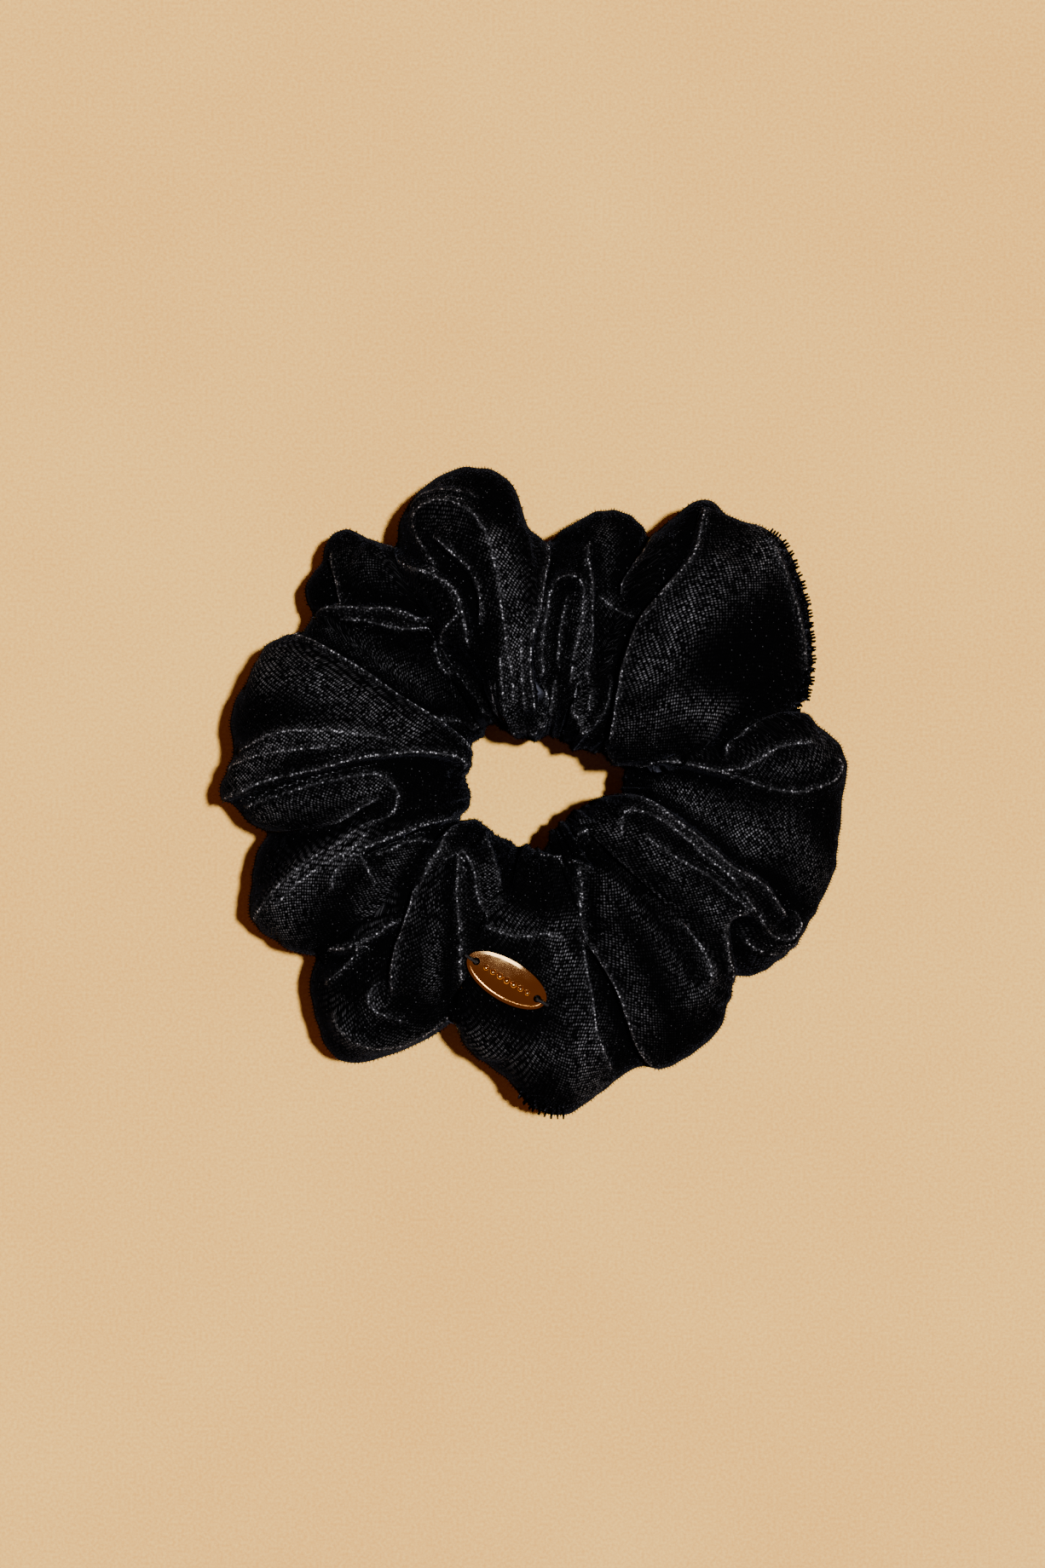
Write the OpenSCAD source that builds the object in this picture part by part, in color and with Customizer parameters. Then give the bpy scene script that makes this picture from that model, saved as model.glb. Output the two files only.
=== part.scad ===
// A gathered velvet scrunchie: a lobed fabric tube around an elastic loop, with an oval metal tag.
// It lies flat. Z = 0 is the surface that it rests on, and the origin is the middle of its box.

/* [Gathered ring] */
// Mean distance from the middle of the hole to the valleys between the lobes
ring_r = 46.5; // [38:0.5:58]
// Height of the gathered fabric as it lies
cover_h = 29; // [23:0.5:36]
// How much lower the fabric is in a valley than at a lobe
valley_drop = 3.5; // [0:0.5:8]
// How far the fabric's own weight presses it flat underneath
flat_sink = 1.5; // [0.5:0.1:3]
// Thickness of the gathered velvet wall, pile included
velvet_t = 1.6; // [1:0.1:2.5]

/* [Hole for the hair] */
// Width of the hole, left to right
hole_w = 27.4; // [20:0.2:34]
// Depth of the hole, tag side to far side
hole_d = 21.8; // [16:0.2:28]

/* [Elastic] */
// Width of the elastic band
elastic_w = 6; // [4:0.5:8]
// Thickness of the elastic band
elastic_t = 1.2; // [0.8:0.1:1.6]
// Room between the velvet at the hole and the elastic
elastic_gap = 1.6; // [1:0.1:3]
// Length over which the two ends of the elastic lie on each other
lap_l = 12; // [8:0.5:16]

/* [Threads] */
// Thickness of the sewing thread
thread_d = 0.5; // [0.3:0.05:0.8]
// Length of one stitch of the closing seam
stitch_l = 1.8; // [1.2:0.1:3]
// Distance from one closing stitch to the next
stitch_pitch = 2.3; // [1.6:0.1:4]
// Length of the closing seam
closing_l = 16.5; // [10:0.5:20]

/* [Metal tag] */
// Length of the oval tag
tag_l = 15.2; // [12:0.2:20]
// Width of the oval tag
tag_w = 7; // [5.5:0.1:9]
// Thickness of the tag in its middle
tag_t = 1.3; // [0.9:0.1:2]
// Turn of the tag, seen from above
tag_turn = -32; // [-60:1:60]
// Slope of the tag away from the hole
tag_slope = 9; // [0:1:20]
// Distance from the middle of the hole to the middle of the tag
tag_r = 33.2; // [28:0.2:38]
// Diameter of a sewing hole in the tag
sew_hole_d = 1.3; // [1:0.1:1.6]
// Diameter of the largest bead in the raised row
bead_d = 1.3; // [0.8:0.1:1.8]

/* [Motion] */
// Clearance between the pulled side and the pieces beside it
pull_gap = 0.3; // [0.3:0.05:0.6]

/* [Hidden] */
tiny = 0.01;

// One row a lobe, anticlockwise from the right: the angle of the valley where it starts, how far that
// valley is beyond ring_r, and how far the lobe's top stands out from the line between its valleys.
lobes = [
    [16.8, -2, 13.5], [67, 0.5, 4.8], [89.2, -5, 12], [121.8, 2, 6], [146.4, 4, 6.5],
    [188.5, 1, 5.7], [215.3, 2, 12.5], [249, -4, 9.5], [286.5, 5, 4], [314.9, 0, 8]
];
lobe_power = 0.6;   // below 1 the lobes are full and their valleys narrow
section_power = 2.4;   // 2 is an ellipse, more is squarer
turn_step = 4.5;   // degrees from one section of the ring to the next
section_points = 14;

// The ring is cut in four: its far side is pulled away, and its right and left sides stretch.
tag_from = 215;
tag_to = 325;
far_from = 35;
far_to = 145;

function lobe_at(turn) =
    let (t = (turn - lobes[0][0] + 720) % 360 + lobes[0][0])
    max([for (i = [0 : len(lobes) - 1]) if (t >= lobes[i][0]) i]);
function lobe_end(i) = i + 1 < len(lobes) ? lobes[i + 1] : [lobes[0][0] + 360, lobes[0][1], 0];
function lobe_share(turn) =
    let (t = (turn - lobes[0][0] + 720) % 360 + lobes[0][0], i = lobe_at(turn))
    (t - lobes[i][0]) / (lobe_end(i)[0] - lobes[i][0]);
function swell(turn) = pow(max(0, sin(180 * lobe_share(turn))), lobe_power);

function hole_r(turn) =
    hole_w * hole_d / 2 / sqrt(pow(hole_d * cos(turn), 2) + pow(hole_w * sin(turn), 2));
function outer_r(turn) =
    let (i = lobe_at(turn), u = lobe_share(turn))
    ring_r + (1 - u) * lobes[i][1] + u * lobe_end(i)[1] + lobes[i][2] * swell(turn);
function height(turn) = cover_h - valley_drop * (1 - swell(turn));

function eased(v) = sign(v) * pow(abs(v), 2 / section_power);
// A point of the section, as [distance from the middle of the hole, height]. inset is 0 outside.
function section_point(turn, around, inset) =
    let (half = (outer_r(turn) - hole_r(turn)) / 2, tall = (height(turn) + flat_sink) / 2)
    [hole_r(turn) + half + (half - inset) * eased(cos(around)),
     max(inset, tall - flat_sink + (tall - inset) * eased(sin(around)))];
// How high the fabric's upper face is at a place, given as [x, y] from the middle of the hole
function cover_top(place) =
    let (turn = atan2(place[1], place[0]) + 360, half = (outer_r(turn) - hole_r(turn)) / 2,
         tall = (height(turn) + flat_sink) / 2,
         across = min(1, abs(norm(place) - hole_r(turn) - half) / half))
    tall - flat_sink + tall * pow(1 - pow(across, section_power), 1 / section_power);

// The middle of the hole is put where the middle of the whole box comes to the origin.
rim = [for (t = [0 : 1 : 359]) outer_r(t) * [cos(t), sin(t)]];
hole_x = -(max([for (p = rim) p[0]]) + min([for (p = rim) p[0]])) / 2;
hole_y = -(max([for (p = rim) p[1]]) + min([for (p = rim) p[1]])) / 2;
module from_hole() { translate([hole_x, hole_y, 0]) children(); }

// The elastic lies loose in the tube, just outside the widest half of the hole.
elastic_r = max(hole_w, hole_d) / 2 + velvet_t + elastic_gap;
elastic_z = (cover_h - valley_drop) / 2;
lap_turn = lap_l / (elastic_r + elastic_t) * 180 / PI;
lap_at = 270;
join_stitches = 5;

// The long seam runs round the tube's floor, over the seam allowance.
seam_r = (hole_w / 2 + ring_r) / 2;

// The closing seam starts at the hole's edge, to the right of the tag, and runs straight out.
closing_x = hole_w * 0.28;
closing_start = hole_d / 2 * sqrt(1 - pow(2 * closing_x / hole_w, 2)) + velvet_t;
closing_lean = 22;   // degrees that a stitch leans off square to the seam

// The tag
tag_at = 260.3;
tag_edge_t = tag_t / 2;   // its thickness at the two ends
dome_r = (pow(tag_l / 2, 2) + pow(tag_t - tag_edge_t, 2)) / (2 * (tag_t - tag_edge_t));
rim_w = 0.55;   // width of the raised edge
rim_h = 0.25;
sew_in = rim_w + sew_hole_d / 2 + 0.35;   // from the tag's end to a sewing hole's middle
beads = 7;
bead_pitch = (tag_l - 2 * (sew_in + sew_hole_d)) / beads;
function tag_spot(along) =
    tag_r * [cos(tag_at), sin(tag_at)] + along * [cos(tag_turn), sin(tag_turn)];
// The tag is sewn down until it lies half in the pile at its middle.
tag_z = cover_top(tag_spot(0)) - velvet_t / 4;

// One stretch of the gathered tube, as a closed wall with an open inside and two flat ends
module cover(from, to) {
    steps = ceil((to - from) / turn_step);
    n = section_points;
    turns = [for (s = [0 : steps]) from + (to - from) * s / steps];
    function at(s, k, inset) =
        let (p = section_point(turns[s], 360 * k / n, inset))
        [p[0] * cos(turns[s]), p[0] * sin(turns[s]), p[1]];
    outside = [for (s = [0 : steps]) for (k = [0 : n - 1]) at(s, k, 0)];
    inside = [for (s = [0 : steps]) for (k = [0 : n - 1]) at(s, k, velvet_t)];
    shift = len(outside);
    function id(s, k) = s * n + k % n;
    wall = [for (s = [0 : steps - 1]) for (k = [0 : n - 1]) each [
        [id(s, k), id(s, k + 1), id(s + 1, k + 1)],
        [id(s, k), id(s + 1, k + 1), id(s + 1, k)]]];
    lining = [for (f = wall) [f[0] + shift, f[2] + shift, f[1] + shift]];
    ends = [for (k = [0 : n - 1]) each [
        [id(0, k), id(0, k) + shift, id(0, k + 1) + shift],
        [id(0, k), id(0, k + 1) + shift, id(0, k + 1)],
        [id(steps, k), id(steps, k + 1) + shift, id(steps, k) + shift],
        [id(steps, k), id(steps, k + 1), id(steps, k + 1) + shift]]];
    from_hole() polyhedron(concat(outside, inside), concat(wall, lining, ends));
}

// The pulled side stops short of its neighbours by the clearance, measured at the hole.
gap_turn = asin(pull_gap / min(hole_w, hole_d) * 2);
module cover_tag_side() { color("#0b0b0d") cover(tag_from, tag_to); }
module cover_right_side() { color("#17171c") cover(tag_to - 360, far_from); }
module cover_far_side() { color("#0b0b0d") cover(far_from + gap_turn, far_to - gap_turn); }
module cover_left_side() { color("#17171c") cover(far_to, tag_from); }

// A rod with round ends, from one point to another
module thread(a, b) {
    along(a, b) cylinder(d = thread_d, h = norm(b - a), $fn = 24);
    for (end = [a, b]) translate(end) sphere(d = thread_d, $fn = 24);
}
// Puts its children at a, with Z towards b
module along(a, b) {
    d = b - a;
    translate(a) rotate([0, acos(d[2] / norm(d)), atan2(d[1], d[0])]) children();
}

module band(r, from, turn) {
    rotate([0, 0, from]) rotate_extrude(angle = turn, $fn = 96)
        translate([r, elastic_z - elastic_w / 2]) square([elastic_t, elastic_w]);
}

// A flat elastic loop whose ends lie on each other over the lap
module elastic_band() {
    color("#1a1a1a") from_hole() {
        band(elastic_r, 0, 360);
        band(elastic_r + elastic_t - tiny, lap_at - lap_turn / 2, lap_turn);
    }
}

// Stitches across the lap, each a small loop through both layers
module elastic_join_stitches() {
    outer = elastic_r + 2 * elastic_t - tiny + thread_d / 2;
    inner = elastic_r - thread_d / 2;
    low = elastic_z - elastic_w / 3;
    high = elastic_z + elastic_w / 3;
    color("#2b2b30") from_hole() for (i = [0 : join_stitches - 1])
        rotate([0, 0, lap_at + lap_turn * ((i + 0.5) / join_stitches - 0.5)]) {
            thread([outer, 0, low], [outer, 0, high]);
            thread([inner, 0, low], [inner, 0, high]);
            thread([inner, 0, low], [outer, 0, low]);
            thread([inner, 0, high], [outer, 0, high]);
        }
}

// The thread of the seam that makes the strip a tube, on the floor inside the tube
module long_seam_thread() {
    color("#2b2b30") from_hole() translate([0, 0, velvet_t + thread_d / 2 + tiny * 5])
        rotate_extrude($fn = 96) translate([seam_r, 0]) circle(d = thread_d, $fn = 24);
}

// Hand stitches that close the opening through which the elastic went in
module closing_stitches() {
    count = floor(closing_l / stitch_pitch);
    color("#3a3a48") from_hole() for (i = [0 : count - 1]) {
        middle = [closing_x, -closing_start - stitch_pitch * (i + 0.5)];
        reach = stitch_l / 2 * [cos(closing_lean), sin(closing_lean)];
        start = concat(middle - reach, cover_top(middle - reach));
        end = concat(middle + reach, cover_top(middle + reach));
        along(start, end) cylinder(d = thread_d, h = norm(end - start), $fn = 24);
    }
}

// Puts its children on the fabric, with X along the tag and Z out of its face
module on_tag() {
    from_hole() translate(concat(tag_spot(0), tag_z))
        rotate([tag_slope, 0, 0]) rotate([0, 0, tag_turn]) children();
}

// The tag's oval outline, moved in from its edge by inset
function tag_outline(inset) =
    [for (t = [0 : 6 : 354]) [(tag_l / 2 - inset) * cos(t), (tag_w / 2 - inset) * sin(t)]];
module tag_dome(rise) {
    intersection() {
        linear_extrude(tag_t + rise) children();
        translate([0, 0, tag_t + rise - dome_r]) sphere(r = dome_r, $fn = 360);
    }
}

// An oval plate with a raised edge, a row of beads and two sewing holes
module metal_tag() {
    color("#d9a441") on_tag() difference() {
        union() {
            tag_dome(0) polygon(tag_outline(0));
            tag_dome(rim_h) difference() {
                polygon(tag_outline(0));
                polygon(tag_outline(rim_w));
            }
            for (i = [0 : beads - 1]) {
                along = bead_pitch * (i - (beads - 1) / 2);
                size = bead_d * (1 - 0.35 * abs(along) / (tag_l / 2));
                translate([along, 0, tag_t - dome_r + sqrt(pow(dome_r, 2) - pow(along, 2))])
                    sphere(d = size, $fn = 32);
            }
        }
        for (side = [-1, 1]) translate([side * (tag_l / 2 - sew_in), 0, -1])
            cylinder(d = sew_hole_d, h = tag_t + 3, $fn = 32);
    }
}

// A loop of thread through a sewing hole and over the tag's end, down into the fabric
module tag_thread(side) {
    hole = side * (tag_l / 2 - sew_in);
    past = side * (tag_l / 2 + thread_d);
    over = tag_t + rim_h + thread_d / 2;
    under = min(0, cover_top(tag_spot(past)) - tag_z) - 0.8 * velvet_t;
    color("#101014") on_tag() {
        thread([hole, 0, under], [hole, 0, over]);
        thread([hole, 0, over], [past, 0, over - tag_edge_t]);
        thread([past, 0, over - tag_edge_t], [past, 0, under]);
        thread([past, 0, under], [hole, 0, under]);
    }
}
module tag_thread_left() { tag_thread(-1); }
module tag_thread_right() { tag_thread(1); }

cover_tag_side();
cover_right_side();
cover_far_side();
cover_left_side();
elastic_band();
elastic_join_stitches();
long_seam_thread();
closing_stitches();
metal_tag();
tag_thread_left();
tag_thread_right();
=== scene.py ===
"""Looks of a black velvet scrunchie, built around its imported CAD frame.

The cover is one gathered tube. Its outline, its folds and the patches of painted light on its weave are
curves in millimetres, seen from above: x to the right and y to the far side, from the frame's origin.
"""
import math

import bpy
import numpy as np
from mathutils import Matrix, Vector


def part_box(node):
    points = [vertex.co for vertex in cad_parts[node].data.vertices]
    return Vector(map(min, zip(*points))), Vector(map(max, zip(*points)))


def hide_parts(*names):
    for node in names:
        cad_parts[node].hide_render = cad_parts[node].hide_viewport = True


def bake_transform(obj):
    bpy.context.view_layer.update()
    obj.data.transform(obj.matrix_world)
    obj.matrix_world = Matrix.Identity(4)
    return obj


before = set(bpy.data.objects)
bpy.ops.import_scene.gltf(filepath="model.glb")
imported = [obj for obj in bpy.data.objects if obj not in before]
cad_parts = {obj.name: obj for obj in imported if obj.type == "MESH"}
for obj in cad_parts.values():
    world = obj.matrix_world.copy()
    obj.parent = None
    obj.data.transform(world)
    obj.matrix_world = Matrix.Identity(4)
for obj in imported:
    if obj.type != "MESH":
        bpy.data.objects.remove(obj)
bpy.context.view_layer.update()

MM = 0.001
TAU = 2 * math.pi
rng = np.random.default_rng(11)

# ---------------------------------------------------------------- camera
LENS = 85.0
FRAME_LENGTH = 270.5 * MM   # what the long side of the picture takes in, at mid height
MID_HEIGHT = 13 * MM
VIEW_FROM = (-2.0 * MM, 1.2 * MM)
SENSOR = 36.0
NEAREST_SEEN = 0.01

# ---------------------------------------------------------------- outline, in millimetres
MIDDLE = (1.5, 0.4)   # middle of the hole

# Each lobe has its height, the way its weave runs in degrees, and its outline, anticlockwise from valley
# to valley.
LOBES = [
    (29.0, 40, [(43.6, 13.3), (45.6, 14.5), (47.0, 16.8), (47.9, 23.8), (46.6, 33.5), (45.1, 39.0),
        (43.1, 42.4), (39.4, 44.8), (35.1, 46.6), (31.4, 49.6), (29.3, 50.2), (26.9, 49.4), (24.4, 47.5),
        (19.9, 44.0)]),
    (25.0, 88, [(19.9, 44.0), (19.0, 45.7), (17.0, 47.3), (14.1, 48.2), (10.8, 48.2), (7.9, 47.1),
        (4.6, 44.9), (2.0, 41.9)]),
    (28.0, 97, [(2.0, 41.9), (-0.7, 44.9), (-1.7, 47.8), (-2.5, 50.7), (-4.0, 53.1), (-6.4, 55.0),
        (-10.1, 55.8), (-13.4, 55.4), (-16.7, 53.9), (-19.6, 51.9), (-22.0, 49.0), (-23.3, 46.1),
        (-24.2, 41.0)]),
    (23.0, 128, [(-24.2, 41.4), (-27.2, 42.5), (-30.2, 44.5), (-32.6, 45.6), (-34.9, 44.4), (-36.2, 42.4),
        (-36.7, 39.6), (-38.6, 37.0), (-39.6, 34.6), (-39.2, 32.2), (-37.9, 30.0)]),
    (25.0, 150, [(-37.9, 30.0), (-39.0, 28.7), (-40.5, 27.4), (-42.6, 26.2)]),
    (28.5, -178, [(-42.6, 26.2), (-45.4, 24.8), (-47.5, 21.9), (-49.6, 18.6), (-51.2, 15.4), (-52.1, 11.5),
        (-51.9, 7.6), (-51.9, 4.6), (-52.9, 2.2), (-53.5, -0.1), (-52.9, -2.0), (-51.0, -3.9),
        (-48.7, -5.4), (-45.4, -6.6)]),
    (27.0, -142, [(-45.4, -6.6), (-47.1, -9.3), (-48.3, -12.0), (-49.0, -15.4), (-49.0, -19.3),
        (-48.1, -22.7), (-46.0, -25.0), (-42.1, -27.0), (-37.9, -27.7)]),
    (26.0, -108, [(-37.9, -27.7), (-38.5, -30.0), (-38.9, -33.1), (-38.3, -37.0), (-37.1, -40.8),
        (-35.6, -44.3), (-32.9, -46.6), (-29.1, -46.8), (-25.2, -45.8), (-21.0, -44.3), (-17.2, -42.0),
        (-13.4, -39.6)]),
    (28.0, -80, [(-13.4, -39.6), (-11.4, -43.3), (-8.3, -46.9), (-4.0, -50.4), (-1.8, -53.2), (1.2, -55.2),
        (4.7, -55.9), (7.2, -55.2), (9.8, -53.2), (12.0, -51.5), (15.6, -48.8)]),
    (28.0, -58, [(15.6, -48.8), (18.5, -47.7), (21.9, -47.4), (26.2, -46.1), (30.1, -42.9), (32.7, -39.4),
        (33.7, -35.5), (33.9, -32.4)]),
    (27.0, -30, [(33.9, -32.4), (37.0, -31.9), (41.3, -29.9), (44.8, -26.9), (47.1, -23.0), (49.9, -18.7),
        (51.7, -13.5), (52.0, -9.2), (53.2, -4.9), (53.5, -1.5), (53.6, 3.7), (53.0, 7.2), (51.2, 9.7),
        (48.6, 11.9), (46.3, 12.9), (43.6, 13.3)]),
]
HOLE = [(14.6, 0.7), (15.2, 3.7), (13.3, 4.8), (9.9, 6.7), (6.6, 7.3), (4.2, 9.0), (2.5, 9.6), (0.1, 8.8),
        (-2.4, 9.4), (-4.9, 10.6), (-7.0, 11.7), (-9.1, 9.6), (-11.2, 7.2), (-11.6, 4.9), (-11.8, 2.2),
        (-10.8, -0.4), (-11.0, -2.0), (-12.2, -3.9), (-12.5, -5.2), (-9.5, -5.8), (-6.8, -7.4),
        (-3.7, -8.9), (-0.6, -10.0), (1.4, -10.0), (2.9, -7.1), (5.9, -4.5), (9.8, -2.3), (14.4, -1.0)]

# How a fold stands: its rise over the cloth on its high side, its drop on the low side, how far each
# reaches, how far the step between them goes, and how far the pile opens along the crest, which is how
# strong a painted highlight is along it.
KINDS = {
    "lobe": (2.2, 1.5, 6.5, 4.5, 0.9, 1.0),   # one lobe lies over the next
    "over": (1.5, 1.1, 4.0, 3.0, 0.8, 1.0),
    "lap": (0.8, 0.6, 2.4, 2.0, 0.7, 0.8),
    "ridge": (1.3, 0.0, 1.7, 1.7, 0.0, 0.7),   # a rounded ridge
    "pinch": (0.7, 0.0, 0.7, 0.7, 0.0, 0.6),   # a narrow one
    "swell": (1.6, 0.0, 4.5, 4.5, 0.0, 0.0),   # a broad one
}
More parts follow.
